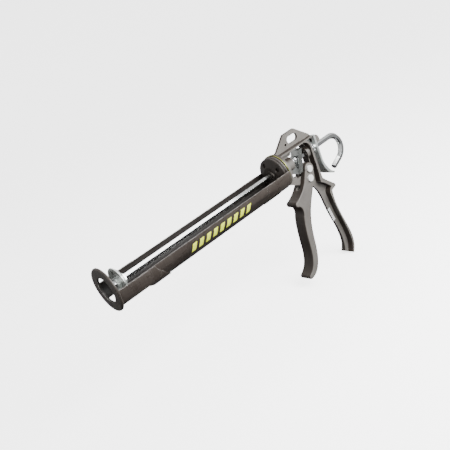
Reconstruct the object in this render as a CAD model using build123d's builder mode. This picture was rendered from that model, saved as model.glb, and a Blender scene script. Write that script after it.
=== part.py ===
from build123d import *
import math
import os

# Caulking gun with a rotating half-round cradle for 50 mm sealant cartridges.
# Millimetres. Origin: centre of the nozzle hole on the front face of the front flange.
# +X points forward out of the nozzle hole, along the push rod. +Z is up, so +Y is the gun's left.

# ---- driving dimensions -------------------------------------------------------------------

# push rod
ROD_FLATS = 8.0  # across the flats of the hexagon
ROD_CORNER_R = ROD_FLATS / 2 / math.cos(math.radians(30))
ROD_BORE_R = 5.0  # every hole the rod slides in
ROD_THREAD_R = 4.0
ROD_FRONT_X = -12.0
HOOK_START_X = -426.0
HOOK_BEND_R = 20.5
HOOK_BEND_ANGLE = 156.0
HOOK_TIP_LENGTH = 18.0

# cradle and its front end
CRADLE_OUTER_R = 26.8
CRADLE_WALL = 1.2
CRADLE_INNER_R = CRADLE_OUTER_R - CRADLE_WALL
CRADLE_REAR_X = -305.5
CRADLE_EDGE_Z = 2.0  # the half round goes this far past its own centre line
FLANGE_THICKNESS = 3.0
FLANGE_R = 29.7
NOZZLE_HOLE_R = 16.8
YOKE_WALL = 1.5
YOKE_OUTER_R = CRADLE_OUTER_R + YOKE_WALL
YOKE_TOP_REAR_X = -57.0
YOKE_BOTTOM_REAR_X = -86.0
SLOT_HALF_ANGLE = 48.0  # of the opening under the nozzle end, from straight down
SLOT_REAR_X = -54.0
SLOT_CORNER_R = 9.0
REAR_BAND_FRONT_X = -258.0
REAR_BAND_REAR_X = -287.0
REAR_BAND_HEIGHT = 0.7

# plunger
PLUNGER_R = 19.7
PLUNGER_WALL = 1.6
PLUNGER_FRONT_X = -17.2
PLUNGER_DISH_R = 15.8
PLUNGER_DISH_DEPTH = 3.6
PLUNGER_REAR_X = PLUNGER_FRONT_X - PLUNGER_DISH_DEPTH - PLUNGER_WALL
NUT_FLATS = 13.0
NUT_THICKNESS = 5.5
ROD_HEX_FRONT_X = PLUNGER_REAR_X - NUT_THICKNESS
PLUNGER_WASHER_R = 10.0
PLUNGER_WASHER_THICKNESS = 1.4

# swivel between cradle and frame
COLLAR_FRONT_X = -293.5
COLLAR_RIM_X = -297.0
COLLAR_REAR_X = -303.0
COLLAR_R = 25.3
END_PLATE_THICKNESS = 2.0
SWIVEL_WASHER_THICKNESS = 1.0
SWIVEL_WASHER_R = 26.6
SPINDLE_R = 7.5
SPINDLE_HEAD_R = 8.2
SPINDLE_HEAD_FRONT_X = -291.8
SPINDLE_HEAD_REAR_X = -295.4
SPINDLE_REAR_X = -326.0
SWIVEL_CLEARANCE = 0.1
SCREW_CIRCLE_R = 17.5
SCREW_ANGLES = (29.0, 119.0, 209.0, 299.0)
SCREW_R = 1.9
SCREW_HEAD_R = 3.2

# frame casting
WEB_HALF = 2.0
FLANGE_HALF = 12.0
FRAME_DISC_R = 26.0
FRAME_DISC_FRONT_X = -306.7
FRAME_DISC_REAR_X = -310.7
HUB_R = 10.5
HUB_REAR_X = -334.5
SPRING_POCKET_R = 8.0
SPRING_POCKET_FRONT_X = -327.0
LEG_REAR_X = -376.3
BRIDGE_TOP_Z = 21.4
BRIDGE_RIB = 2.2
LEG_BOSS_R = 8.5
LEG_BOSS_FRONT_X = -367.0
LUG_HALF = 8.0
SHELF_HALF = 9.5
SHELF_FRONT_X = -366.0
SHELF_REAR_X = -385.6
SHELF_TOP_Z = 20.8
SHELF_THICKNESS = 2.0
ARM_HALF = 2.4

# trigger
PIVOT_X = -353.2
PIVOT_Z = -33.3
DRIVE_PIN_X = -357.4
DRIVE_PIN_Z = -19.9
TRIGGER_HALF = 10.5
TRIGGER_EDGE_R = 1.8
TRIGGER_WALL = 2.6
TRIGGER_NOSE_R = 9.4
TRIGGER_SLOT_HALF = 3.2
TRIGGER_SLOT_R = 24.0
PIVOT_PIN_R = 3.0
DRIVE_PIN_R = 2.5
PIN_HEAD_R = 5.0
PIN_HEAD_THICKNESS = 2.5
PIN_HEAD_GAP = 0.1
HINGE_CLEARANCE = 0.05

# drive plates
PLATE_THICKNESS = 4.0
PLATE_TILT = 20.0  # top leans back, the angle at which the plates bite on the rod
PLATE_HALF_WIDTH = 7.6
PLATE_TOP_Z = 13.0
PLATE_BOTTOM_Z = -20.0
PLATE_PAIR_X = -350.5  # middle of the pair on the rod's centre line

# springs
WIRE_R = 0.65
DRIVE_SPRING_R = 6.9
RELEASE_SPRING_R = 8.2

# release lever
LEVER_FRONT_X = -387.6
LEVER_THICKNESS = 3.6
LEVER_HALF_WIDTH = 10.0
LEVER_TOP_Z = 20.0
LEVER_FORK_HALF = 3.4
LEVER_FORK_BOTTOM_Z = 8.5
LEVER_ROD_HOLE_R = 5.6

os.makedirs("parts", exist_ok=True)


def save(piece, label):
    piece.part.label = label
    export_step(piece.part, "parts/" + label + ".step")


def side_plane(y):
    """Sketch plane of the side view at this distance left of centre: local x is X, local y is Z."""
    return Plane(origin=(0, y, 0), x_dir=(1, 0, 0), z_dir=(0, -1, 0))


def ring(front_x, rear_x, outer_r, inner_r):
    """A round washer or sleeve on the rod's axis."""
    with BuildPart() as piece:
        with BuildSketch(Plane.YZ.offset(rear_x)):
            Circle(outer_r)
            Circle(inner_r, mode=Mode.SUBTRACT)
        extrude(amount=front_x - rear_x)
    return piece


def hex_nut(front_x, rear_x, flats, bore_r):
    """A hexagon nut on the rod's axis with its corners turned down at both faces."""
    corner_r = flats / 2 / math.cos(math.radians(30))
    with BuildPart() as piece:
        with BuildSketch(Plane.YZ.offset(rear_x)):
            RegularPolygon(radius=corner_r, side_count=6)
            Circle(bore_r, mode=Mode.SUBTRACT)
        extrude(amount=front_x - rear_x)
        with BuildSketch(Plane.XZ) as turned:
            with BuildLine():
                Polyline(
                    (rear_x, 0),
                    (rear_x, flats / 2 * 0.98),
                    (rear_x + 1.0, corner_r + 0.1),
                    (front_x - 1.0, corner_r + 0.1),
                    (front_x, flats / 2 * 0.98),
                    (front_x, 0),
                    close=True,
                )
            make_face()
        revolve(axis=Axis.X, mode=Mode.INTERSECT)
    return piece


def coil_spring(front_x, rear_x, coil_r, turns):
    """A round wire coil around the rod between two faces."""
    length = front_x - rear_x - 2 * WIRE_R
    with BuildPart() as piece:
        with BuildLine() as wire:
            Helix(
                pitch=length / turns,
                height=length,
                radius=coil_r,
                center=(rear_x + WIRE_R, 0, 0),
                direction=(1, 0, 0),
            )
        with BuildSketch(Plane(origin=wire.line @ 0, z_dir=wire.line % 0)):
            Circle(WIRE_R)
        sweep(path=wire.line)
    return piece


# ---- cradle body: cradle, yoke, front flange, end plate, collar, screws ---------------------


def make_cradle():
    """Half-round sheet tube with a raised band at the back and the opening under the nozzle end."""
    band_r = CRADLE_OUTER_R + REAR_BAND_HEIGHT
    top = top_cutter(CRADLE_REAR_X)
    slot = slot_cutter()
    with BuildPart() as cradle:
        with BuildSketch(Plane.XZ):
            with BuildLine():
                Polyline(
                    (CRADLE_REAR_X, CRADLE_INNER_R),
                    (CRADLE_REAR_X, CRADLE_OUTER_R),
                    (REAR_BAND_REAR_X - 3, CRADLE_OUTER_R),
                    (REAR_BAND_REAR_X, band_r),
                    (REAR_BAND_FRONT_X - 0.7, band_r),
                    (REAR_BAND_FRONT_X, CRADLE_OUTER_R),
                    (-FLANGE_THICKNESS, CRADLE_OUTER_R),
                    (-FLANGE_THICKNESS, CRADLE_INNER_R),
                    close=True,
                )
            make_face()
        revolve(axis=Axis.X)
        add(top, mode=Mode.SUBTRACT)
        add(slot, mode=Mode.SUBTRACT)
    return cradle


def top_cutter(rear_x):
    """Everything above the cradle's two long edges."""
    length = 6 - rear_x
    with BuildPart() as cutter:
        with Locations(((2 + rear_x) / 2, 0, CRADLE_EDGE_Z + 20)):
            Box(length, 80, 40)
    return cutter.part


def slot_cutter():
    """The opening under the nozzle end: a wedge about the gun's axis with two rounded back corners."""
    reach = 40.0
    half = reach * math.tan(math.radians(SLOT_HALF_ANGLE))
    side_r = CRADLE_INNER_R * math.sin(math.radians(SLOT_HALF_ANGLE))
    with BuildPart() as cutter:
        with BuildSketch(Plane.YZ.offset(SLOT_REAR_X)):
            with BuildLine():
                Polyline((0, 0), (-half, -reach), (half, -reach), close=True)
            make_face()
        extrude(amount=-SLOT_REAR_X)
        with BuildSketch(Plane.XY.offset(-reach)):
            with BuildLine():
                straight_x = SLOT_REAR_X + SLOT_CORNER_R
                Line((0, reach), (straight_x, reach))
                Line((straight_x, reach), (straight_x, side_r))
                ThreePointArc(
                    (straight_x, side_r),
                    (straight_x - SLOT_CORNER_R * math.sin(math.radians(45)), side_r - SLOT_CORNER_R * 0.29),
                    (SLOT_REAR_X, side_r - SLOT_CORNER_R),
                )
                Line((SLOT_REAR_X, side_r - SLOT_CORNER_R), (SLOT_REAR_X, SLOT_CORNER_R - side_r))
                ThreePointArc(
                    (SLOT_REAR_X, SLOT_CORNER_R - side_r),
                    (straight_x - SLOT_CORNER_R * math.sin(math.radians(45)), SLOT_CORNER_R * 0.29 - side_r),
                    (straight_x, -side_r),
                )
                Line((straight_x, -side_r), (straight_x, -reach))
                Line((straight_x, -reach), (0, -reach))
                Line((0, -reach), (0, reach))
            make_face()
        extrude(amount=reach, mode=Mode.INTERSECT)
    return cutter.part


def make_front_yoke():
    """Sheet sleeve welded round the nozzle end of the cradle; its back edge slopes."""
    top = top_cutter(YOKE_BOTTOM_REAR_X)
    slot = slot_cutter()
    with BuildPart() as yoke:
        with BuildSketch(Plane.XZ):
            with BuildLine():
                Polyline(
                    (YOKE_BOTTOM_REAR_X, CRADLE_OUTER_R),
                    (YOKE_BOTTOM_REAR_X + 2, YOKE_OUTER_R),
                    (-FLANGE_THICKNESS, YOKE_OUTER_R),
                    (-FLANGE_THICKNESS, CRADLE_OUTER_R),
                    close=True,
                )
            make_face()
        revolve(axis=Axis.X)
        add(top, mode=Mode.SUBTRACT)
        add(slot, mode=Mode.SUBTRACT)
        with BuildSketch(side_plane(0)):
            with BuildLine():
                Polyline(
                    (YOKE_TOP_REAR_X, CRADLE_EDGE_Z + 1),
                    (YOKE_TOP_REAR_X - 2, -4),
                    (YOKE_BOTTOM_REAR_X + 6, -YOKE_OUTER_R + 3),
                    (YOKE_BOTTOM_REAR_X, -YOKE_OUTER_R - 1),
                    (YOKE_BOTTOM_REAR_X - 10, -YOKE_OUTER_R - 1),
                    (YOKE_BOTTOM_REAR_X - 10, CRADLE_EDGE_Z + 1),
                    close=True,
                )
            make_face()
        extrude(amount=40, both=True, mode=Mode.SUBTRACT)
    return yoke


def make_front_flange():
    """Round plate that the cartridge's shoulder pushes against; the nozzle goes through it."""
    with BuildPart() as flange:
        with BuildSketch(Plane.XZ):
            with BuildLine():
                Polyline(
                    (-FLANGE_THICKNESS, NOZZLE_HOLE_R),
                    (-FLANGE_THICKNESS, FLANGE_R - 0.3),
                    (-FLANGE_THICKNESS + 0.3, FLANGE_R),
                    (-1.2, FLANGE_R),
                    (0, FLANGE_R - 1.0),
                    (0, NOZZLE_HOLE_R + 0.4),
                    (-0.4, NOZZLE_HOLE_R),
                    close=True,
                )
            make_face()
        revolve(axis=Axis.X)
    return flange


def make_end_plate():
    """Disc welded inside the back end of the cradle; it turns on the spindle."""
    rear = COLLAR_REAR_X - END_PLATE_THICKNESS
    with BuildPart() as plate:
        with BuildSketch(Plane.YZ.offset(rear)):
            Circle(CRADLE_INNER_R)
            Circle(SPINDLE_R + SWIVEL_CLEARANCE, mode=Mode.SUBTRACT)
            for angle in SCREW_ANGLES:
                with PolarLocations(SCREW_CIRCLE_R, 1, start_angle=angle):
                    Circle(SCREW_R, mode=Mode.SUBTRACT)
        extrude(amount=END_PLATE_THICKNESS)
    return plate


def make_collar():
    """Moulded end stop in front of the end plate, with a crowned face and one groove."""
    with BuildPart() as collar:
        with BuildSketch(Plane.XZ):
            with BuildLine():
                Polyline(
                    (COLLAR_REAR_X, SPINDLE_R + SWIVEL_CLEARANCE),
                    (COLLAR_REAR_X, COLLAR_R),
                    (COLLAR_REAR_X + 1.6, COLLAR_R),
                    (COLLAR_REAR_X + 1.6, COLLAR_R - 1.0),
                    (COLLAR_REAR_X + 2.4, COLLAR_R - 1.0),
                    (COLLAR_REAR_X + 2.4, COLLAR_R),
                    (COLLAR_RIM_X - 0.6, COLLAR_R),
                    (COLLAR_RIM_X, COLLAR_R - 0.8),
                    (COLLAR_FRONT_X, SPINDLE_HEAD_R + 5),
                    (COLLAR_FRONT_X, SPINDLE_HEAD_R + 0.4),
                    (SPINDLE_HEAD_REAR_X - 0.1, SPINDLE_HEAD_R + 0.4),
                    (SPINDLE_HEAD_REAR_X - 0.1, SPINDLE_R + SWIVEL_CLEARANCE),
                    close=True,
                )
            make_face()
        revolve(axis=Axis.X)
        for angle in SCREW_ANGLES:
            with BuildSketch(Plane.YZ.offset(COLLAR_REAR_X)):
                with PolarLocations(SCREW_CIRCLE_R, 1, start_angle=angle):
                    Circle(SCREW_R)
            extrude(amount=20, mode=Mode.SUBTRACT)
            with BuildSketch(Plane.YZ.offset(COLLAR_RIM_X - 2)):
                with PolarLocations(SCREW_CIRCLE_R, 1, start_angle=angle):
                    Circle(SCREW_HEAD_R)
            extrude(amount=20, mode=Mode.SUBTRACT)
    return collar


def make_collar_screws():
    """Four pan-head screws that hold the collar to the end plate."""
    head_rear = COLLAR_RIM_X - 2
    with BuildPart() as screws:
        for angle in SCREW_ANGLES:
            with BuildSketch(Plane.YZ.offset(COLLAR_REAR_X - END_PLATE_THICKNESS)):
                with PolarLocations(SCREW_CIRCLE_R, 1, start_angle=angle):
                    Circle(SCREW_R)
            extrude(amount=head_rear - COLLAR_REAR_X + END_PLATE_THICKNESS)
            with BuildSketch(Plane.YZ.offset(head_rear)):
                with PolarLocations(SCREW_CIRCLE_R, 1, start_angle=angle):
                    Circle(SCREW_HEAD_R - 0.2)
            extrude(amount=1.6)
            with BuildSketch(Plane.YZ.offset(head_rear + 0.6)):
                with PolarLocations(SCREW_CIRCLE_R, 1, start_angle=angle):
                    Rectangle(3.4, 0.8)
                    Rectangle(0.8, 3.4)
            extrude(amount=2, mode=Mode.SUBTRACT)
    return screws


# ---- push rod body: rod, plunger cup, washer, nuts ------------------------------------------


def make_push_rod():
    """Hexagon rod, turned down at its front for the plunger, bent to a pull hook at its back."""
    half_turn = math.radians(HOOK_BEND_ANGLE / 2)
    turn = math.radians(HOOK_BEND_ANGLE)
    bend_middle = (HOOK_START_X - HOOK_BEND_R * math.sin(half_turn), 0, HOOK_BEND_R * (math.cos(half_turn) - 1))
    bend_end = (HOOK_START_X - HOOK_BEND_R * math.sin(turn), 0, HOOK_BEND_R * (math.cos(turn) - 1))
    tip = (
        bend_end[0] - HOOK_TIP_LENGTH * math.cos(turn),
        0,
        bend_end[2] - HOOK_TIP_LENGTH * math.sin(turn),
    )
    with BuildPart() as rod:
        with BuildLine() as path:
            Line((ROD_HEX_FRONT_X, 0, 0), (HOOK_START_X, 0, 0))
            ThreePointArc((HOOK_START_X, 0, 0), bend_middle, bend_end)
            Line(bend_end, tip)
        with BuildSketch(Plane(origin=(ROD_HEX_FRONT_X, 0, 0), x_dir=(0, 0, 1), z_dir=(-1, 0, 0))):
            RegularPolygon(radius=ROD_CORNER_R, side_count=6)
        sweep(path=path.line)
        with BuildSketch(Plane.YZ.offset(ROD_HEX_FRONT_X)):
            Circle(ROD_THREAD_R)
        extrude(amount=ROD_FRONT_X - ROD_HEX_FRONT_X)
    return rod


def make_plunger_cup():
    """Pressed dish with a flat rim that pushes the cartridge's piston."""
    floor_x = PLUNGER_REAR_X + PLUNGER_WALL
    with BuildPart() as cup:
        with BuildSketch(Plane.XZ):
            with BuildLine():
                Polyline(
                    (PLUNGER_REAR_X, ROD_THREAD_R),
                    (PLUNGER_REAR_X, PLUNGER_DISH_R - 0.8),
                    (PLUNGER_REAR_X + 1.2, PLUNGER_DISH_R + 0.8),
                    (PLUNGER_FRONT_X - PLUNGER_WALL, PLUNGER_DISH_R + 1.4),
                    (PLUNGER_FRONT_X - PLUNGER_WALL, PLUNGER_R - 0.3),
                    (PLUNGER_FRONT_X - PLUNGER_WALL + 0.3, PLUNGER_R),
                    (PLUNGER_FRONT_X - 0.6, PLUNGER_R),
                    (PLUNGER_FRONT_X, PLUNGER_R - 0.6),
                    (PLUNGER_FRONT_X, PLUNGER_DISH_R + 0.3),
                    (PLUNGER_FRONT_X - 0.4, PLUNGER_DISH_R - 0.1),
                    (floor_x + 0.9, PLUNGER_DISH_R - 0.8),
                    (floor_x, PLUNGER_DISH_R - 2.0),
                    (floor_x, ROD_THREAD_R),
                    close=True,
                )
            make_face()
        revolve(axis=Axis.X)
    return cup


# ---- frame casting ----------------------------------------------------------------------------


def palm_curve():
    """Side view of the handle's back edge, from under the thumb rest to the bottom."""
    return Spline(
        (-387.0, -71.5),
        (-386.4, -94.0),
        (-392.6, -129.0),
        (-397.2, -156.0),
        (-395.6, -172.0),
        (-389.0, -184.5),
    )


def web_outline():
    """Side view of the middle web: hanging plate, leg, thumb rest and handle."""
    Polyline(
        (FRAME_DISC_REAR_X, -25.0),
        (FRAME_DISC_REAR_X, 23.5),
        (-316.0, 25.5),
        (-338.5, 43.3),
        (-361.7, 43.5),
        (-388.0, 22.6),
        (-388.0, SHELF_TOP_Z),
        (LEG_REAR_X, SHELF_TOP_Z),
        (LEG_REAR_X, -44.5),
        (-382.0, -51.0),
        (-396.6, -64.6),
        (-397.2, -68.5),
        (-387.0, -71.5),
    )
    palm_curve()
    Line((-389.0, -184.5), (-381.5, -178.5))
    Spline((-381.5, -178.5), (-384.7, -164.0), (-374.6, -100.0), (-366.6, -59.0), (-362.0, -51.0))
    Polyline(
        (-362.0, -51.0),
        (-348.0, -43.5),
        (-334.3, -35.6),
        (-322.5, -29.6),
        (FRAME_DISC_REAR_X, -25.0),
    )


def window_outline():
    """Side view of the opening that holds the drive plates."""
    Polyline(
        (-331.0, -22.4),
        (-331.0, -16.6),
        (-333.0, -16.6),
        (-333.0, 11.0),
        (-339.0, 11.0),
        (-345.0, 19.3),
        (-364.0, 19.3),
        (-373.0, 10.0),
        (-369.5, -26.0),
        (-337.0, -26.0),
        (-337.0, -22.4),
        (-331.0, -22.4),
    )


def rib_outline():
    """Side view of the wide rib: along the bridge's top, down the leg, round the thumb rest and the palm."""
    corner_x = -361.5
    inner_r = 11.8
    outer_r = 14.6
    inner_z = BRIDGE_TOP_Z - BRIDGE_RIB - inner_r
    outer_z = BRIDGE_TOP_Z - outer_r
    inner_leg_x = corner_x - inner_r
    outer_leg_x = LEG_REAR_X
    diagonal = math.sin(math.radians(45))
    Line((FRAME_DISC_REAR_X, BRIDGE_TOP_Z), (outer_leg_x + outer_r, BRIDGE_TOP_Z))
    ThreePointArc(
        (outer_leg_x + outer_r, BRIDGE_TOP_Z),
        (outer_leg_x + outer_r * (1 - diagonal), outer_z + outer_r * diagonal),
        (outer_leg_x, outer_z),
    )
    Polyline(
        (outer_leg_x, outer_z),
        (LEG_REAR_X, -44.5),
        (-382.0, -51.0),
        (-396.6, -64.6),
        (-397.2, -68.5),
        (-387.0, -71.5),
    )
    palm_curve()
    Line((-389.0, -184.5), (-386.2, -182.2))
    Spline((-386.2, -182.2), (-392.3, -170.0), (-393.0, -155.0), (-388.4, -124.0), (-383.0, -90.0), (-381.6, -74.0))
    Spline((-381.6, -74.0), (-383.4, -68.5), (-388.2, -65.0))
    Polyline(
        (-388.2, -65.0),
        (-378.0, -54.5),
        (-370.0, -48.5),
        (-372.2, -34.0),
        (inner_leg_x, inner_z),
    )
    ThreePointArc(
        (inner_leg_x, inner_z),
        (corner_x - inner_r * diagonal, inner_z + inner_r * diagonal),
        (corner_x, inner_z + inner_r),
    )
    Line((corner_x, inner_z + inner_r), (FRAME_DISC_REAR_X, inner_z + inner_r))
    Line((FRAME_DISC_REAR_X, inner_z + inner_r), (FRAME_DISC_REAR_X, BRIDGE_TOP_Z))


def lug_outline():
    """Side view of the block behind the release lever that its top leans on."""
    rear_z = 9.0
    Line((-392.4, 5.2), (-392.4, 18.8))
    Spline((-392.4, 18.8), (-397.0, 16.4), (-399.6, 11.2), (-399.0, rear_z - 2))
    Line((-399.0, rear_z - 2), (-392.4, 5.2))


def make_frame():
    """Die-cast frame: a middle web with a wide rib along the top, the leg and the palm side."""
    with BuildPart() as frame:
        with BuildSketch(side_plane(0)):
            with BuildLine():
                web_outline()
            make_face()
        extrude(amount=WEB_HALF, both=True)
        with BuildSketch(side_plane(0)):
            with BuildLine():
                window_outline()
            make_face()
            with Locations((-353.4, 31.6)):
                SlotOverall(21.4, 10.6)
            with Locations((-337.0, 28.0)):
                Circle(1.9)
        extrude(amount=WEB_HALF, both=True, mode=Mode.SUBTRACT)
        with BuildSketch(side_plane(0)):
            with BuildLine():
                rib_outline()
            make_face()
        extrude(amount=FLANGE_HALF, both=True)
        with BuildSketch(side_plane(0)):
            with Locations(((SHELF_FRONT_X + SHELF_REAR_X) / 2, SHELF_TOP_Z - SHELF_THICKNESS / 2)):
                Rectangle(SHELF_FRONT_X - SHELF_REAR_X, SHELF_THICKNESS)
        extrude(amount=SHELF_HALF, both=True)
        with BuildSketch(side_plane(0)):
            with BuildLine():
                Polyline(
                    (SHELF_REAR_X + 2, SHELF_TOP_Z),
                    (-396.0, 17.0),
                    (-396.0, 10.0),
                    (SHELF_REAR_X + 2, SHELF_TOP_Z - SHELF_THICKNESS),
                    close=True,
                )
            make_face()
        extrude(amount=ARM_HALF, both=True)
        with BuildSketch(side_plane(0)):
            with BuildLine():
                lug_outline()
            make_face()
        extrude(amount=LUG_HALF, both=True)
        with BuildSketch(Plane.YZ.offset(FRAME_DISC_REAR_X)):
            Circle(FRAME_DISC_R)
        extrude(amount=FRAME_DISC_FRONT_X - FRAME_DISC_REAR_X)
        with BuildSketch(Plane.YZ.offset(HUB_REAR_X)):
            Circle(HUB_R)
        extrude(amount=FRAME_DISC_REAR_X - HUB_REAR_X)
        with BuildSketch(Plane.YZ.offset(LEG_REAR_X)):
            Circle(LEG_BOSS_R)
        extrude(amount=LEG_BOSS_FRONT_X - LEG_REAR_X)
        with BuildSketch(Plane.YZ.offset(HUB_REAR_X)):
            Circle(SPINDLE_R)
        extrude(amount=FRAME_DISC_FRONT_X - HUB_REAR_X, mode=Mode.SUBTRACT)
        with BuildSketch(Plane.YZ.offset(HUB_REAR_X)):
            Circle(SPRING_POCKET_R)
        extrude(amount=SPRING_POCKET_FRONT_X - HUB_REAR_X, mode=Mode.SUBTRACT)
        with BuildSketch(Plane.YZ.offset(LEG_REAR_X - 1)):
            Circle(ROD_BORE_R)
        extrude(amount=LEG_BOSS_FRONT_X - LEG_REAR_X + 2, mode=Mode.SUBTRACT)
        with BuildSketch(side_plane(0)):
            with Locations((PIVOT_X, PIVOT_Z)):
                Circle(PIVOT_PIN_R)
        extrude(amount=WEB_HALF, both=True, mode=Mode.SUBTRACT)
    return frame


def make_handle_label():
    """Small plain plate on the left side of the handle's web."""
    with BuildPart() as label:
        with BuildSketch(side_plane(WEB_HALF)):
            with Locations(Location((-378.4, -109.6), -10.0)):
                Rectangle(4.4, 22.6)
        extrude(amount=-0.4)
    return label


def make_spindle():
    """Hollow screw through the collar and end plate into the frame's hub; the rod slides in it."""
    with BuildPart() as spindle:
        with BuildSketch(Plane.YZ.offset(SPINDLE_REAR_X)):
            Circle(SPINDLE_R)
        extrude(amount=SPINDLE_HEAD_REAR_X - SPINDLE_REAR_X)
        with BuildSketch(Plane.YZ.offset(SPINDLE_HEAD_REAR_X)):
            Circle(SPINDLE_HEAD_R)
        extrude(amount=SPINDLE_HEAD_FRONT_X - SPINDLE_HEAD_REAR_X)
        with BuildSketch(Plane.YZ.offset(SPINDLE_REAR_X)):
            Circle(ROD_BORE_R)
        extrude(amount=SPINDLE_HEAD_FRONT_X - SPINDLE_REAR_X, mode=Mode.SUBTRACT)
    return spindle


# ---- trigger ---------------------------------------------------------------------------------


def trigger_outline():
    """Side view of the trigger below its nose: finger rest, toe, grip and rounded end."""
    Spline((-349.8, -18.3), (-345.6, -24.7), (-336.9, -37.4), (-324.6, -47.6), (-314.2, -52.6))
    ThreePointArc((-314.2, -52.6), (-309.7, -56.8), (-312.6, -61.2))
    Spline((-312.6, -61.2), (-318.2, -65.4), (-319.6, -71.5), (-317.0, -79.0))
    Spline(
        (-317.0, -79.0),
        (-313.5, -91.5),
        (-309.4, -118.5),
        (-305.8, -143.0),
        (-298.7, -157.6),
        (-289.2, -164.8),
    )
    ThreePointArc((-289.2, -164.8), (-287.2, -169.0), (-291.2, -172.2))
    Spline(
        (-291.2, -172.2),
        (-301.6, -169.4),
        (-309.6, -162.2),
        (-315.9, -151.0),
        (-319.7, -138.3),
        (-324.0, -111.4),
        (-330.9, -86.4),
        (-342.9, -64.6),
        (-353.6, -49.4),
        (-361.6, -37.4),
        (-366.2, -26.5),
    )
    Line((-366.2, -26.5), (-349.8, -18.3))


def trigger_channel_outline():
    """Side view of the channel that hollows the trigger from behind."""
    Spline((-333.0, -72.0), (-322.6, -90.0), (-316.4, -112.0), (-312.6, -139.0), (-306.8, -154.0), (-301.0, -160.6))
    Polyline((-301.0, -160.6), (-316.0, -172.0), (-336.0, -130.0), (-350.0, -66.0), (-333.0, -72.0))


def make_trigger():
    """Cast trigger: two cheeks that straddle the frame's web, joined by the finger grip."""
    with BuildPart() as trigger:
        with BuildSketch(side_plane(0)):
            with BuildLine():
                trigger_outline()
            make_face()
            with Locations((DRIVE_PIN_X - 1.0, DRIVE_PIN_Z - 0.5)):
                Circle(TRIGGER_NOSE_R)
        extrude(amount=TRIGGER_HALF, both=True)
        fillet(trigger.faces().filter_by(Axis.Y).edges(), TRIGGER_EDGE_R)
        with BuildSketch(side_plane(0)):
            with Locations((PIVOT_X, PIVOT_Z)):
                Circle(TRIGGER_SLOT_R)
        extrude(amount=TRIGGER_SLOT_HALF, both=True, mode=Mode.SUBTRACT)
        with BuildSketch(side_plane(0)):
            with BuildLine():
                trigger_channel_outline()
            make_face()
        extrude(amount=TRIGGER_HALF - TRIGGER_WALL, both=True, mode=Mode.SUBTRACT)
        with BuildSketch(side_plane(0)):
            with Locations((PIVOT_X, PIVOT_Z)):
                Circle(PIVOT_PIN_R + HINGE_CLEARANCE)
            with Locations((DRIVE_PIN_X, DRIVE_PIN_Z)):
                Circle(DRIVE_PIN_R)
        extrude(amount=TRIGGER_HALF, both=True, mode=Mode.SUBTRACT)
    return trigger


def make_cross_pin(x, z, shank_r):
    """Pin across the trigger with a flat round head on each side."""
    head_start = TRIGGER_HALF + PIN_HEAD_GAP
    with BuildPart() as pin:
        with BuildSketch(side_plane(0)):
            with Locations((x, z)):
                Circle(shank_r)
        extrude(amount=head_start, both=True)
        for side in (-1, 1):
            with BuildSketch(side_plane(side * head_start)):
                with Locations((x, z)):
                    Circle(PIN_HEAD_R)
            extrude(amount=-side * PIN_HEAD_THICKNESS)
    return pin


# ---- drive plates, springs, release lever -----------------------------------------------------


def make_drive_plate(offset):
    """Gripping plate on the rod; offset is its middle's distance ahead of the pair's middle."""
    tilt = math.radians(PLATE_TILT)
    middle_x = PLATE_PAIR_X + offset / math.cos(tilt)
    half = PLATE_THICKNESS / 2 / math.cos(tilt)

    def at(z):
        return middle_x - z * math.tan(tilt)

    with BuildPart() as plate:
        with BuildSketch(side_plane(0)):
            with BuildLine():
                Polyline(
                    (at(PLATE_TOP_Z) + half, PLATE_TOP_Z),
                    (at(PLATE_TOP_Z) - half, PLATE_TOP_Z),
                    (at(PLATE_BOTTOM_Z) - half, PLATE_BOTTOM_Z),
                    (at(PLATE_BOTTOM_Z) + half, PLATE_BOTTOM_Z),
                    close=True,
                )
            make_face()
        extrude(amount=PLATE_HALF_WIDTH, both=True)
        with BuildSketch(Plane.YZ.offset(PLATE_PAIR_X - 15)):
            Circle(ROD_BORE_R)
        extrude(amount=30, mode=Mode.SUBTRACT)
    return plate


def make_release_lever():
    """Thumb lever behind the leg: a plate with a rod hole, forked at the top, curled at the tip."""
    rear_x = LEVER_FRONT_X - LEVER_THICKNESS
    with BuildPart() as lever:
        with BuildSketch(side_plane(0)):
            with BuildLine():
                Line((LEVER_FRONT_X, LEVER_TOP_Z), (LEVER_FRONT_X, -22.0))
                Spline(
                    (LEVER_FRONT_X, -22.0),
                    (-390.6, -36.0),
                    (-403.0, -49.6),
                    tangents=((0, -1), (-1, -0.45)),
                )
                Line((-403.0, -49.6), (-406.5, -51.0))
                Line((-406.5, -51.0), (-407.3, -48.6))
                Spline(
                    (-407.3, -48.6),
                    (-395.2, -35.0),
                    (rear_x, -22.0),
                    tangents=((1, 0.45), (0.1, 1)),
                )
                Line((rear_x, -22.0), (rear_x, LEVER_TOP_Z))
                Line((rear_x, LEVER_TOP_Z), (LEVER_FRONT_X, LEVER_TOP_Z))
            make_face()
        extrude(amount=LEVER_HALF_WIDTH, both=True)
        with Locations((LEVER_FRONT_X, 0, LEVER_FORK_BOTTOM_Z + 10)):
            Box(20, 2 * LEVER_FORK_HALF, 20, mode=Mode.SUBTRACT)
        with BuildSketch(Plane.YZ.offset(rear_x - 2)):
            Circle(LEVER_ROD_HOLE_R)
        extrude(amount=LEVER_THICKNESS + 4, mode=Mode.SUBTRACT)
    return lever


# ---- build and save -----------------------------------------------------------------------------

save(make_cradle(), "cradle")
save(make_front_yoke(), "front_yoke")
save(make_front_flange(), "front_flange")
save(make_end_plate(), "cradle_end_plate")
save(make_collar(), "collar")
save(make_collar_screws(), "collar_screws")

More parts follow.
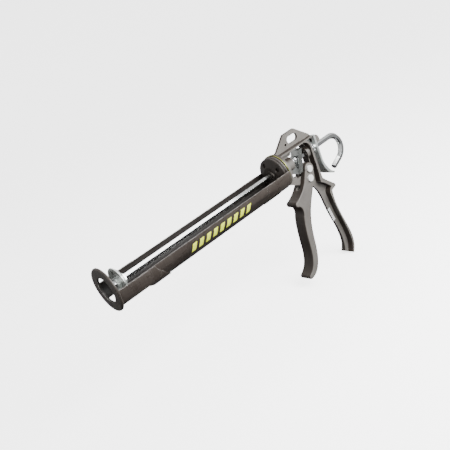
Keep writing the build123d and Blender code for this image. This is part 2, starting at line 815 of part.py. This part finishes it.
save(make_push_rod(), "push_rod")
save(make_plunger_cup(), "plunger_cup")
WASHER_REAR = PLUNGER_REAR_X + PLUNGER_WALL
WASHER_FRONT = WASHER_REAR + PLUNGER_WASHER_THICKNESS
save(ring(WASHER_FRONT, WASHER_REAR, PLUNGER_WASHER_R, ROD_THREAD_R), "plunger_washer")
save(hex_nut(WASHER_FRONT + NUT_THICKNESS, WASHER_FRONT, NUT_FLATS, ROD_THREAD_R), "plunger_front_nut")
save(hex_nut(PLUNGER_REAR_X, PLUNGER_REAR_X - NUT_THICKNESS, NUT_FLATS, ROD_THREAD_R), "plunger_rear_nut")

save(make_frame(), "frame")
save(make_handle_label(), "handle_label")
save(make_spindle(), "spindle")
SWIVEL_WASHER_REAR = FRAME_DISC_FRONT_X + 0.05
save(
    ring(SWIVEL_WASHER_REAR + SWIVEL_WASHER_THICKNESS, SWIVEL_WASHER_REAR, SWIVEL_WASHER_R, SPINDLE_R),
    "swivel_washer",
)

save(make_trigger(), "trigger")
save(make_cross_pin(PIVOT_X, PIVOT_Z, PIVOT_PIN_R), "trigger_pivot_pin")
save(make_cross_pin(DRIVE_PIN_X, DRIVE_PIN_Z, DRIVE_PIN_R), "drive_pin")

save(make_drive_plate(PLATE_THICKNESS / 2), "drive_plate_front")
save(make_drive_plate(-PLATE_THICKNESS / 2), "drive_plate_rear")
save(coil_spring(SPRING_POCKET_FRONT_X - 0.4, -343.6, DRIVE_SPRING_R, 5), "drive_spring")
save(make_release_lever(), "release_lever")
save(coil_spring(LEG_REAR_X - 0.4, LEVER_FRONT_X + 0.4, RELEASE_SPRING_R, 3), "release_spring")
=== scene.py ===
import math

import bpy
from mathutils import Matrix, Vector


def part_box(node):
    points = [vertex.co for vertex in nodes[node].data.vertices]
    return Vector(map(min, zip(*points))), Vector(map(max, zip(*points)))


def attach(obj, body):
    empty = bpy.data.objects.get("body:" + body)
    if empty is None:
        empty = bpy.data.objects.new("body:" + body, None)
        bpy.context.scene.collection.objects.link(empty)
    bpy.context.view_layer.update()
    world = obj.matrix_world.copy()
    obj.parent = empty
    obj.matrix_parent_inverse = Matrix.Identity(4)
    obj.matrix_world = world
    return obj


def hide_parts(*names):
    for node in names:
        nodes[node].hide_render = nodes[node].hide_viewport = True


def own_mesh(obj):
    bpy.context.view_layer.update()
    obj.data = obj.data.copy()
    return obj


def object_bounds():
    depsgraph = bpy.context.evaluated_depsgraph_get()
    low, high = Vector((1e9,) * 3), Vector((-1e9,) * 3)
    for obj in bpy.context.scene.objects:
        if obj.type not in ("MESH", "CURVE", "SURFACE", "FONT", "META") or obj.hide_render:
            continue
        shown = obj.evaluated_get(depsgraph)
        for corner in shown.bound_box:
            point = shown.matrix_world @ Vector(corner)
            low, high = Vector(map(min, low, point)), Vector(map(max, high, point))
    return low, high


# The looks of the caulking gun.
# Metres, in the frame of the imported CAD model: +X out of the nozzle hole, +Z up, +Y toward the near side.

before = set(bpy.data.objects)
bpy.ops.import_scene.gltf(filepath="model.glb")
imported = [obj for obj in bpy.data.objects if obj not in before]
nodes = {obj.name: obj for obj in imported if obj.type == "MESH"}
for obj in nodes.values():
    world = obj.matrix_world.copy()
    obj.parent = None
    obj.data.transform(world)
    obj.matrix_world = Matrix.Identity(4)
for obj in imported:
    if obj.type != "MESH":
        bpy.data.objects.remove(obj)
cad_box = [list(corner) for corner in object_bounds()]
MM = 0.001


# ---- shader building blocks ---------------------------------------------------------------------

# most of a noise texture's values lie between these two
NOISE_LOW = 0.3
NOISE_HIGH = 0.7


class Shader:
    """A material's node tree, with one Principled shader and object-space coordinates."""

    def __init__(self, name):
        self.material = bpy.data.materials.new(name)
        self.material.use_nodes = True
        self.tree = self.material.node_tree
        self.principled = self.tree.nodes["Principled BSDF"]
        self.coordinates = self.add("ShaderNodeTexCoord").outputs["Object"]

    def add(self, kind, **values):
        node = self.tree.nodes.new(kind)
        for key, value in values.items():
            setattr(node, key, value)
        return node

    def link(self, output, socket):
        self.tree.links.new(output, socket)

    def set(self, **values):
        """Constant values on the Principled shader's own sockets."""
        for key, value in values.items():
            self.principled.inputs[key.replace("_", " ")].default_value = value

    def stretched(self, grain):
        """Coordinates divided by the grain's size along each axis, which is in millimetres."""
        mapping = self.add("ShaderNodeMapping")
        mapping.inputs["Scale"].default_value = [1 / (MM * size) for size in grain]
        self.link(self.coordinates, mapping.inputs["Vector"])
        return mapping.outputs["Vector"]

    def noise(self, grain, detail=3.0, rough=0.55):
        """Noise whose features are about this many millimetres along each axis."""
        node = self.add("ShaderNodeTexNoise")
        node.inputs["Scale"].default_value = 1.0
        node.inputs["Detail"].default_value = detail
        node.inputs["Roughness"].default_value = rough
        self.link(self.stretched(grain), node.inputs["Vector"])
        return node.outputs["Fac"]

    def ramp(self, source, stops):
        """A colour ramp: stops are (position, colour or grey)."""
        node = self.add("ShaderNodeValToRGB")
        elements = node.color_ramp.elements
        while len(elements) < len(stops):
            elements.new(0.5)
        for element, (position, value) in zip(elements, stops):
            element.position = position
            colour = value if isinstance(value, tuple) else (value, value, value)
            element.color = (*colour, 1)
        self.link(source, node.inputs["Fac"])
        return node.outputs["Color"]

    def range(self, source, low, high, to_low, to_high):
        """The source's values from low to high, moved to lie from to_low to to_high."""
        node = self.add("ShaderNodeMapRange")
        for key, value in (("From Min", low), ("From Max", high), ("To Min", to_low), ("To Max", to_high)):
            node.inputs[key].default_value = value
        self.link(source, node.inputs["Value"])
        return node.outputs["Result"]

    def spread(self, noise, to_low, to_high):
        """A noise's usual values, moved to lie from to_low to to_high."""
        return self.range(noise, NOISE_LOW, NOISE_HIGH, to_low, to_high)

    def math(self, operation, a, b):
        node = self.add("ShaderNodeMath", operation=operation)
        for socket, value in zip(node.inputs, (a, b)):
            if isinstance(value, (int, float)):
                socket.default_value = value
            else:
                self.link(value, socket)
        return node.outputs["Value"]

    def mix(self, factor, a, b):
        """Colour a where the factor is 0 and b where it is 1. Either may be a constant colour."""
        node = self.add("ShaderNodeMix", data_type="RGBA")
        self.link(factor, node.inputs["Factor"])
        for socket, value in ((node.inputs[6], a), (node.inputs[7], b)):
            if isinstance(value, tuple):
                socket.default_value = (*value, 1)
            else:
                self.link(value, socket)
        return node.outputs[2]

    def drift(self, noise, a, b):
        """Colours that drift from a to b with a noise."""
        return self.mix(self.spread(noise, 0, 1), a, b)

    def normal(self):
        return self.add("ShaderNodeNewGeometry").outputs["Normal"]

    def dot(self, a, b):
        node = self.add("ShaderNodeVectorMath", operation="DOT_PRODUCT")
        self.link(a, node.inputs[0])
        self.link(b, node.inputs[1])
        return node.outputs["Value"]

    def edges(self, radius):
        """1 on sharp edges and 0 on flats, from how far a rounded normal leans from the true one."""
        bevel = self.add("ShaderNodeBevel", samples=6)
        bevel.inputs["Radius"].default_value = radius * MM
        return self.range(self.dot(bevel.outputs["Normal"], self.normal()), 0.995, 0.88, 0.0, 1.0)

    def sideways(self):
        """How far the surface faces along Y either way, from 0 to 1."""
        split = self.add("ShaderNodeSeparateXYZ")
        self.link(self.normal(), split.inputs["Vector"])
        return self.math("ABSOLUTE", split.outputs["Y"], 0.0)

    def inward(self):
        """1 on surfaces that face the X axis, as inside a tube on that axis, and 0 on the rest."""
        flat = self.add("ShaderNodeVectorMath", operation="MULTIPLY")
        flat.inputs[1].default_value = (0, 1, 1)
        self.link(self.coordinates, flat.inputs[0])
        outward = self.add("ShaderNodeVectorMath", operation="NORMALIZE")
        self.link(flat.outputs["Vector"], outward.inputs[0])
        return self.range(self.dot(outward.outputs["Vector"], self.normal()), -0.3, -0.6, 0.0, 1.0)

    def colour(self, output):
        self.link(output, self.principled.inputs["Base Color"])

    def roughness(self, output):
        self.link(output, self.principled.inputs["Roughness"])

    def bump(self, *layers):
        """Bump from (height output, depth in millimetres) layers, one over the other."""
        normal = None
        for height, depth in layers:
            node = self.add("ShaderNodeBump")
            node.inputs["Strength"].default_value = 1.0
            node.inputs["Distance"].default_value = depth * MM
            self.link(height, node.inputs["Height"])
            if normal is not None:
                self.link(normal, node.inputs["Normal"])
            normal = node.outputs["Normal"]
        self.link(normal, self.principled.inputs["Normal"])


# ---- materials ----------------------------------------------------------------------------------


def cast_coat():
    """Satin coat on the castings: painted light and shade, grey on the flat sides that face along Y and near
    black on the rib faces; lighter on edges, partly rubbed wear and partly a painted highlight.
    """
    s = Shader("cast_coat")
    blotches = s.noise((22, 22, 22), 4.0)
    grain = s.noise((0.9, 0.9, 0.9), 2.0)
    sides = s.drift(blotches, (0.115, 0.107, 0.098), (0.145, 0.136, 0.125))
    shaded_ribs = s.drift(blotches, (0.018, 0.013, 0.01), (0.028, 0.021, 0.016))
    # painted light and shade: faces turned along Y take the lighter sides colour, all other faces the
    # near-black rib colour
    body = s.mix(s.range(s.sideways(), 0.6, 0.93, 0, 1), shaded_ribs, sides)
    speckled = s.mix(s.range(grain, 0.56, 0.7, 0, 0.35), body, (0.07, 0.064, 0.058))
    # sharp edges get a lighter colour: partly rubbed wear, partly a painted highlight
    wear_and_edge_highlight = s.math("MULTIPLY", s.edges(0.7), s.range(s.noise((5, 5, 5)), 0.35, 0.6, 0.15, 0.8))
    s.colour(s.mix(wear_and_edge_highlight, speckled, (0.2, 0.19, 0.175)))
    s.roughness(s.spread(blotches, 0.38, 0.5))
    s.bump((grain, 0.02), (s.noise((4, 4, 4)), 0.05))
    s.set(Specular_IOR_Level=0.35)
    return s.material


def sheet_coat():
    """Dark warm powder coat on the rolled sheet: faint rolling lines outside; duller inside, and much darker
    inside as painted shade; lighter on edges, partly wear and partly a painted highlight.
    """
    s = Shader("sheet_coat")
    blotches = s.noise((30, 14, 14), 4.0)
    lines = s.noise((0.55, 40, 40))
    peel = s.noise((0.7, 0.7, 0.7), 2.0)
    inside = s.inward()
    outer = s.drift(blotches, (0.036, 0.029, 0.025), (0.054, 0.045, 0.039))
    lined = s.mix(s.range(lines, 0.45, 0.75, 0, 0.5), outer, (0.08, 0.071, 0.064))
    # painted shade: the inside of the tube is coloured much darker than the outside
    shaded_inner = s.drift(blotches, (0.01, 0.008, 0.007), (0.017, 0.014, 0.012))
    # sharp edges, such as the cradle's top edge, get a pale colour: partly rubbed wear, partly a painted
    # highlight
    wear_and_edge_highlight = s.math("MULTIPLY", s.edges(0.6), s.range(s.noise((9, 9, 9)), 0.35, 0.6, 0.2, 0.95))
    s.colour(s.mix(wear_and_edge_highlight, s.mix(inside, lined, shaded_inner), (0.46, 0.44, 0.42)))
    s.roughness(s.math("ADD", s.spread(blotches, 0.24, 0.34), s.range(inside, 0.0, 1.0, 0.0, 0.16)))
    s.bump((peel, 0.003), (lines, 0.0015))
    s.set(Specular_IOR_Level=0.4)
    return s.material


def collar_plastic():
    """Moulded black plastic of the collar, with a soft sheen."""
    s = Shader("collar_plastic")
    mottled = s.noise((8, 8, 8), 4.0)
    s.colour(s.drift(mottled, (0.013, 0.01, 0.008), (0.024, 0.019, 0.016)))
    s.roughness(s.spread(mottled, 0.4, 0.52))
    s.bump((s.noise((0.5, 0.5, 0.5), 2.0), 0.012))
    s.set(Specular_IOR_Level=0.35)
    return s.material


LINE_SHADE = 0.86  # drawing and turning lines are this much of the metal's darker colour


def plated(name, colours, rough, grain, metallic, depth=0.002, edge=(0.9, 0.9, 0.88)):
    """Plated metal with drawing or turning lines of this grain in millimetres. Its edges take the edge
    colour, partly wear and partly a painted highlight.
    """
    s = Shader(name)
    lines = s.noise(grain, 2.0)
    base = s.drift(s.noise((12, 12, 12)), *colours)
    worn = s.mix(s.range(lines, 0.5, 0.75, 0, 0.4), base, tuple(c * LINE_SHADE for c in colours[0]))
    # lighter edge colour: partly wear, partly a painted highlight
    s.colour(s.mix(s.edges(0.25), worn, edge))
    s.roughness(s.spread(lines, *rough))
    s.bump((lines, depth))
    s.set(Metallic=metallic)
    return s.material


def yellow_zinc():
    """Yellow passivate with drifting green and amber tints."""
    s = Shader("yellow_zinc")
    tints = [(0.3, (0.26, 0.22, 0.06)), (0.5, (0.32, 0.32, 0.09)), (0.7, (0.2, 0.27, 0.09))]
    s.colour(s.ramp(s.noise((4, 4, 4)), tints))
    s.roughness(s.spread(s.noise((0.6, 0.6, 0.6)), 0.26, 0.42))
    s.bump((s.noise((0.4, 0.4, 0.4)), 0.006))
    s.set(Metallic=1.0)
    return s.material


def printed(name, grain, stops, rough, depth, detail=4.0):
    """A thin layer of film or ink whose colour follows a noise of this grain in millimetres."""
    s = Shader(name)
    wear = s.noise((grain, grain, grain), detail)
    s.colour(s.ramp(wear, stops))
    s.roughness(s.spread(wear, *rough))
    s.bump((wear, depth))
    return s.material


CAST = cast_coat()
SHEET = sheet_coat()
COLLAR = collar_plastic()
ROD = plated(
    "bright_plate",
    ((0.8, 0.82, 0.82), (0.88, 0.89, 0.89)),
    (0.06, 0.13),
    (90, 0.4, 0.4),
    metallic=1.0,
    depth=0.0004,
)
ZINC = plated("zinc_plate", ((0.7, 0.74, 0.72), (0.82, 0.85, 0.82)), (0.26, 0.36), (3, 3, 3), 0.75)
TURNED = plated("turned_zinc", ((0.68, 0.72, 0.68), (0.8, 0.84, 0.8)), (0.2, 0.3), (0.5, 9, 9), 0.8)
WIRE = plated("spring_wire", ((0.6, 0.62, 0.62), (0.74, 0.76, 0.75)), (0.18, 0.28), (4, 0.5, 0.5), 0.9)
PINS = plated("pin_zinc", ((0.86, 0.87, 0.85), (0.93, 0.93, 0.92)), (0.3, 0.4), (2, 2, 2), 0.25)
# its lighter edge colour is partly wear and partly a painted highlight
DARK_STEEL = plated(
    "dark_steel",
    ((0.06, 0.052, 0.047), (0.1, 0.09, 0.082)),
    (0.3, 0.42),
    (1.5, 1.5, 1.5),
    metallic=0.8,
    depth=0.003,
    edge=(0.2, 0.19, 0.18),
)
# its pale edge colour is partly wear and partly a painted highlight
PLATE_STEEL = plated(
    "plate_steel",
    ((0.34, 0.35, 0.34), (0.5, 0.52, 0.5)),
    (0.16, 0.26),
    (3, 3, 3),
    metallic=0.95,
    edge=(0.85, 0.86, 0.84),
)
YELLOW = yellow_zinc()
BAR_STOPS = [(0.28, (0.3, 0.34, 0.02)), (0.36, (0.8, 0.93, 0.05)), (0.75, (0.88, 1.0, 0.08))]
BARS = printed("bar_print", 1.3, BAR_STOPS, (0.4, 0.55), 0.02)
FILM_STOPS = [(0.3, (0.62, 0.62, 0.59)), (0.55, (0.86, 0.86, 0.84)), (0.8, (0.9, 0.9, 0.88))]
FILM = printed("label_film", 2.2, FILM_STOPS, (0.3, 0.42), 0.01)
INK = printed("label_ink", 0.8, [(0.3, 0.14), (0.7, 0.24)], (0.45, 0.6), 0.01, detail=3.0)


# ---- CAD nodes: materials and rounded edges -------------------------------------------------------

# node: (material, edge radius in millimetres)
FINISHES = {
    "cradle": (SHEET, 0.3),
    "front_yoke": (SHEET, 0.4),
    "front_flange": (SHEET, 0.9),
    "cradle_end_plate": (SHEET, 0.3),
    "collar": (COLLAR, 0.5),
    "collar_screws": (DARK_STEEL, 0.25),
    "push_rod": (ROD, 0.35),
    "plunger_cup": (TURNED, 0.25),
    "plunger_washer": (ZINC, 0.2),
    "plunger_front_nut": (ZINC, 0.3),
    "plunger_rear_nut": (ZINC, 0.3),
    "frame": (CAST, 0.7),
    "handle_label": (FILM, 0.05),
    "spindle": (DARK_STEEL, 0.4),
    "swivel_washer": (YELLOW, 0.15),
    "trigger_pivot_pin": (PINS, 0.6),
    "trigger": (CAST, 0.5),
    "drive_pin": (PINS, 0.6),
    "drive_plate_front": (PLATE_STEEL, 0.4),
    "drive_plate_rear": (PLATE_STEEL, 0.4),
    "release_lever": (ZINC, 0.6),
}
EDGE_ANGLE = math.radians(28)
WELD_DISTANCE = 0.004 * MM
EDGE_SEGMENTS = 3


def round_edges(piece, radius):
    """Welds the split vertices and rounds every edge sharper than EDGE_ANGLE."""
    weld = piece.modifiers.new("weld", "WELD")
    weld.merge_threshold = WELD_DISTANCE
    bevel = piece.modifiers.new("rounded_edges", "BEVEL")
    bevel.limit_method = "ANGLE"
    bevel.angle_limit = EDGE_ANGLE
    bevel.width = radius * MM
    bevel.segments = EDGE_SEGMENTS
    bevel.use_clamp_overlap = True
    bevel.harden_normals = True
    bevel.miter_outer = "MITER_ARC"


for node_name, (material, edge_radius) in FINISHES.items():
    nodes[node_name].data.materials.clear()
    nodes[node_name].data.materials.append(material)
    round_edges(nodes[node_name], edge_radius)


# ---- new pieces ------------------------------------------------------------------------------------


def new_piece(name, vertices, faces, material, body, slot):
    """A mesh that rides on a body."""
    mesh = bpy.data.meshes.new(name)
    mesh.from_pydata(vertices, [], faces)
    mesh.validate()
    mesh.shade_smooth()
    piece = bpy.data.objects.new(name, mesh)
    bpy.context.scene.collection.objects.link(piece)
    mesh.materials.append(material)
    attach(piece, body)
    return piece


def swept_tube(points, radius, sides=12):
    """Vertices and faces of a round wire along points, with closed ends."""
    vertices = []
    faces = []
    side = None
    for i, point in enumerate(points):
        ahead = points[min(i + 1, len(points) - 1)]
        behind = points[max(i - 1, 0)]
        tangent = (ahead - behind).normalized()
        if side is None:
            side = tangent.orthogonal().normalized()
        side = (side - tangent * side.dot(tangent)).normalized()
        other = tangent.cross(side)
        for k in range(sides):
            angle = math.tau * k / sides
            vertices.append(point + radius * (math.cos(angle) * side + math.sin(angle) * other))
    for i in range(len(points) - 1):
        for k in range(sides):
            a = i * sides + k
            b = i * sides + (k + 1) % sides
            faces.append((a, b, b + sides, a + sides))
    faces.append(tuple(reversed(range(sides))))
    faces.append(tuple(range((len(points) - 1) * sides, len(points) * sides)))
    return vertices, faces


# ---- springs ---------------------------------------------------------------------------------------

WIRE_R = 0.65 * MM
CLOSED_TURNS = 0.8  # turns at each end that lie flat on the next one
CLOSED_PITCH = 0.98 * WIRE_R
STEPS_PER_TURN = 36


def coil_points(front_x, rear_x, coil_r, turns):
    """Centre line of a compression spring with closed, flat ends, from its rear to its front."""
    total = turns + 2 * CLOSED_TURNS
    steps = round(total * STEPS_PER_TURN)
    free_length = front_x - rear_x - 4 * WIRE_R
    points = []
    for i in range(steps + 1):
        turn = total * i / steps
        open_share = min(max((turn - CLOSED_TURNS) / turns, 0), 1)
        closed_rear = min(turn, CLOSED_TURNS) / CLOSED_TURNS
        closed_front = min(max(turn - CLOSED_TURNS - turns, 0), CLOSED_TURNS) / CLOSED_TURNS
        x = rear_x + WIRE_R + (closed_rear + closed_front) * CLOSED_PITCH + open_share * free_length
        angle = math.tau * turn
        points.append(Vector((x, coil_r * math.cos(angle), coil_r * math.sin(angle))))
    return points


def make_spring(name, node, turns):
    """A smooth wire spring in place of the CAD one."""
    low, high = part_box(node)
    coil_r = (high.y - low.y) / 2 - WIRE_R
    points = coil_points(high.x, low.x, coil_r, turns)
    piece = new_piece(name, *swept_tube(points, WIRE_R), WIRE, "frame", "spring_steel")
    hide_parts(node)
    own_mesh(piece)


make_spring("plate_return_spring", "drive_spring", 4)
make_spring("lever_return_spring", "release_spring", 2.4)


# ---- printed bars on the cradle ----------------------------------------------------------------------

CRADLE_R = 26.8 * MM  # outside radius of the tube, ahead of its raised band
PRINT_TOP_R = CRADLE_R + 0.06 * MM
PRINT_BOTTOM_R = CRADLE_R - 0.02 * MM
BAR_COUNT = 9
BAR_FRONT_X = -113 * MM
BAR_PITCH = 12.4 * MM
BAR_WIDTH = 7.2 * MM
BAR_SLANT = -4.3 * MM  # how far the top end lies ahead of the bottom end
BAR_BOTTOM_ANGLE = 57  # degrees from straight down, toward +Y
BAR_TOP_ANGLE = 81
BAR_COLUMNS = 4
BAR_ROWS = 12


def printed_bar(name, front_x):
    """A thin slanted bar on the near side of the cradle."""
    vertices = []
    for r in (PRINT_BOTTOM_R, PRINT_TOP_R):
        for j in range(BAR_ROWS + 1):
            share = j / BAR_ROWS
            angle = math.radians(BAR_BOTTOM_ANGLE + (BAR_TOP_ANGLE - BAR_BOTTOM_ANGLE) * share)
            for i in range(BAR_COLUMNS + 1):
                x = front_x - BAR_WIDTH * (1 - i / BAR_COLUMNS) + BAR_SLANT * share
                vertices.append((x, r * math.sin(angle), -r * math.cos(angle)))
    row = BAR_COLUMNS + 1
    layer = row * (BAR_ROWS + 1)
    faces = []
    for j in range(BAR_ROWS):
        for i in range(BAR_COLUMNS):
            a = j * row + i
            faces.append((a, a + row, a + row + 1, a + 1))
            faces.append((a + layer, a + layer + 1, a + layer + row + 1, a + layer + row))
    rim = list(range(BAR_COLUMNS))
    rim += [j * row + BAR_COLUMNS for j in range(BAR_ROWS)]
    rim += [BAR_ROWS * row + i for i in range(BAR_COLUMNS, 0, -1)]
    rim += [j * row for j in range(BAR_ROWS, 0, -1)]
    faces += [(a, b, b + layer, a + layer) for a, b in zip(rim, rim[1:] + rim[:1])]
    new_piece(name, vertices, faces, BARS, "barrel", "label")


for index in range(BAR_COUNT):
    printed_bar(f"barrel_bar_{index + 1}", BAR_FRONT_X - index * BAR_PITCH)


# ---- grey lines on the handle's label ------------------------------------------------------------------

LABEL_TILT = math.radians(10)
LINE_COUNT = 7
LINE_PITCH = 2.9 * MM
LINE_HALF_HEIGHT = 0.55 * MM
LONG_LINE_HALF = 1.6 * MM
SHORT_LINE_HALF = 1.1 * MM  # every third line is short
LINE_LIFT = Vector((0, 0.03 * MM, 0))

label_low, label_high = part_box("handle_label")
label_centre = Vector(((label_low.x + label_high.x) / 2, label_high.y, (label_low.z + label_high.z) / 2))


def label_line(name, along, half_length):
    """A short grey line across the label at a distance along it."""
    up = Vector((math.sin(LABEL_TILT), 0, math.cos(LABEL_TILT)))
    across = Vector((up.z, 0, -up.x))
    centre = label_centre + up * along
    corners = [(-1, -1), (1, -1), (1, 1), (-1, 1)]
    top = [centre + across * a * half_length + up * b * LINE_HALF_HEIGHT + LINE_LIFT for a, b in corners]
    bottom = [corner - 2 * LINE_LIFT for corner in top]
    faces = [(0, 1, 2, 3), (7, 6, 5, 4)]
    faces += [(i + 4, (i + 1) % 4 + 4, (i + 1) % 4, i) for i in range(4)]
    new_piece(name, top + bottom, faces, INK, "frame", "label")


for index in range(LINE_COUNT):
    half = LONG_LINE_HALF if index % 3 else SHORT_LINE_HALF
    label_line(f"label_line_{index + 1}", (index - LINE_COUNT // 2) * LINE_PITCH, half)


# ---- camera ----------------------------------------------------------------------------------------------

VIEW_PLACE = Vector((0.2230, 0.6348, 0.2618))
VIEW_AZIMUTH = math.radians(146.993)  # of the direction from the gun to the camera, from -Y toward +X
VIEW_ELEVATION = math.radians(20.426)
VIEW_ROLL = math.radians(-22.718)
SENSOR = 36.0
LENS = 47.92
CLIP_NEAR = 0.02
CLIP_FAR = 60

toward_camera = Vector((math.sin(VIEW_AZIMUTH), -math.cos(VIEW_AZIMUTH), math.tan(VIEW_ELEVATION)))
toward_camera.normalize()


def make_camera():
    """A camera at the photograph's angle, rolled so that the gun lies along the frame's diagonal."""
    data = bpy.data.cameras.new("camera")
    data.sensor_width = SENSOR
    data.lens = LENS
    data.clip_start = CLIP_NEAR
    data.clip_end = CLIP_FAR
    camera = bpy.data.objects.new("camera", data)
    bpy.context.scene.collection.objects.link(camera)
    level = toward_camera.to_track_quat("Z", "Y").to_matrix().to_4x4()
    camera.matrix_world = Matrix.Translation(VIEW_PLACE) @ level @ Matrix.Rotation(VIEW_ROLL, 4, "Z")
    bpy.context.scene.camera = camera


make_camera()


# ---- floor, surroundings, lights ---------------------------------------------------------------------------

FLOOR_GAP = 0.5 * MM  # between the floor and the gun's lowest point
FLOOR_NEAR = -6.0
FLOOR_BACK = 6.0
FLOOR_HALF_WIDTH = 9.0
FLOOR_BEND_R = 1.5
FLOOR_BEND_STEPS = 16
FLOOR_TOP = 6.0
PAPER_GREY = (0.93, 0.93, 0.93, 1)
PAPER_GLOW = 3.0


def floor_paper():
    material = bpy.data.materials.new("floor_paper")
    material.use_nodes = True
    shader = material.node_tree.nodes["Principled BSDF"]
    shader.inputs["Base Color"].default_value = PAPER_GREY
    shader.inputs["Emission Color"].default_value = (1, 1, 1, 1)
    shader.inputs["Emission Strength"].default_value = PAPER_GLOW
    shader.inputs["Roughness"].default_value = 0.9
    shader.inputs["Specular IOR Level"].default_value = 0.1
    return material


def make_floor():
    """A wide pale floor that curves up far behind the gun. The gun's metal doesn't mirror it."""
    ground = cad_box[0][2] - FLOOR_GAP
    profile = [(FLOOR_NEAR, ground), (FLOOR_BACK, ground)]
    for i in range(1, FLOOR_BEND_STEPS + 1):
        a = math.pi / 2 * i / FLOOR_BEND_STEPS
        profile.append((FLOOR_BACK + FLOOR_BEND_R * math.sin(a), ground + FLOOR_BEND_R * (1 - math.cos(a))))
    profile.append((FLOOR_BACK + FLOOR_BEND_R, ground + FLOOR_TOP))
    away = -Vector((toward_camera.x, toward_camera.y, 0)).normalized()
    side = Vector((away.y, -away.x, 0))
    vertices = []
    for distance, height in profile:
        for sign in (-1, 1):
            p = away * distance + side * FLOOR_HALF_WIDTH * sign
            vertices.append((p.x, p.y, height))
    faces = [(2 * i, 2 * i + 1, 2 * i + 3, 2 * i + 2) for i in range(len(profile) - 1)]
    mesh = bpy.data.meshes.new("studio_floor")
    mesh.from_pydata(vertices, [], faces)
    mesh.shade_smooth()
    mesh.materials.append(floor_paper())
    floor = bpy.data.objects.new("studio_floor", mesh)
    bpy.context.scene.collection.objects.link(floor)
    floor.visible_diffuse = False
    floor.visible_glossy = False


# height as a share from straight down to straight up, and the grey there
WORLD_STOPS = ((0.28, 0.06), (0.46, 0.75), (0.9, 1.0))
WORLD_STRENGTH = 0.9


def make_world():
    """Soft studio surroundings: white above, grey at the horizon, dark below."""
    world = bpy.data.worlds.new("studio")
    bpy.context.scene.world = world
    world.use_nodes = True
    tree = world.node_tree
    coordinates = tree.nodes.new("ShaderNodeTexCoord")
    split = tree.nodes.new("ShaderNodeSeparateXYZ")
    ramp = tree.nodes.new("ShaderNodeValToRGB")
    elements = ramp.color_ramp.elements
    elements.new(0.5)
    for element, (position, grey) in zip(elements, WORLD_STOPS):
        element.position = position
        element.color = (grey, grey, grey, 1)
    height = tree.nodes.new("ShaderNodeMapRange")
    height.inputs["From Min"].default_value = -1.0
    tree.links.new(coordinates.outputs["Generated"], split.inputs["Vector"])
    tree.links.new(split.outputs["Z"], height.inputs["Value"])
    tree.links.new(height.outputs["Result"], ramp.inputs["Fac"])
    background = tree.nodes["Background"]
    tree.links.new(ramp.outputs["Color"], background.inputs["Color"])
    background.inputs["Strength"].default_value = WORLD_STRENGTH


GRIP = Vector((-0.34, 0, 0))  # on the rod's axis, above the handles

# light: (place from GRIP, aim from GRIP, size, watts)
SOFTBOXES = {
    "side_softbox": ((-0.1, 0.56, 0.36), (0, 0, 0), (0.5, 0.4), 13),
    "top_softbox": ((-0.35, -0.15, 1.2), (0.12, 0, 0), (1.3, 0.5), 11),
    "front_softbox": ((0.5, 1.0, 0.5), (0.2, 0, 0), (0.6, 0.6), 5),
}


def make_softbox(name, place, aim, size, watts):
    """A white rectangular light that looks from its place to its aim."""
    data = bpy.data.lights.new(name, "AREA")
    data.shape = "RECTANGLE"
    data.size, data.size_y = size
    data.energy = watts
    light = bpy.data.objects.new(name, data)
    bpy.context.scene.collection.objects.link(light)
    light.location = place
    light.rotation_euler = (aim - place).to_track_quat("-Z", "Y").to_euler()


make_floor()
make_world()
for light_name, (place, aim, size, watts) in SOFTBOXES.items():
    make_softbox(light_name, GRIP + Vector(place), GRIP + Vector(aim), size, watts)
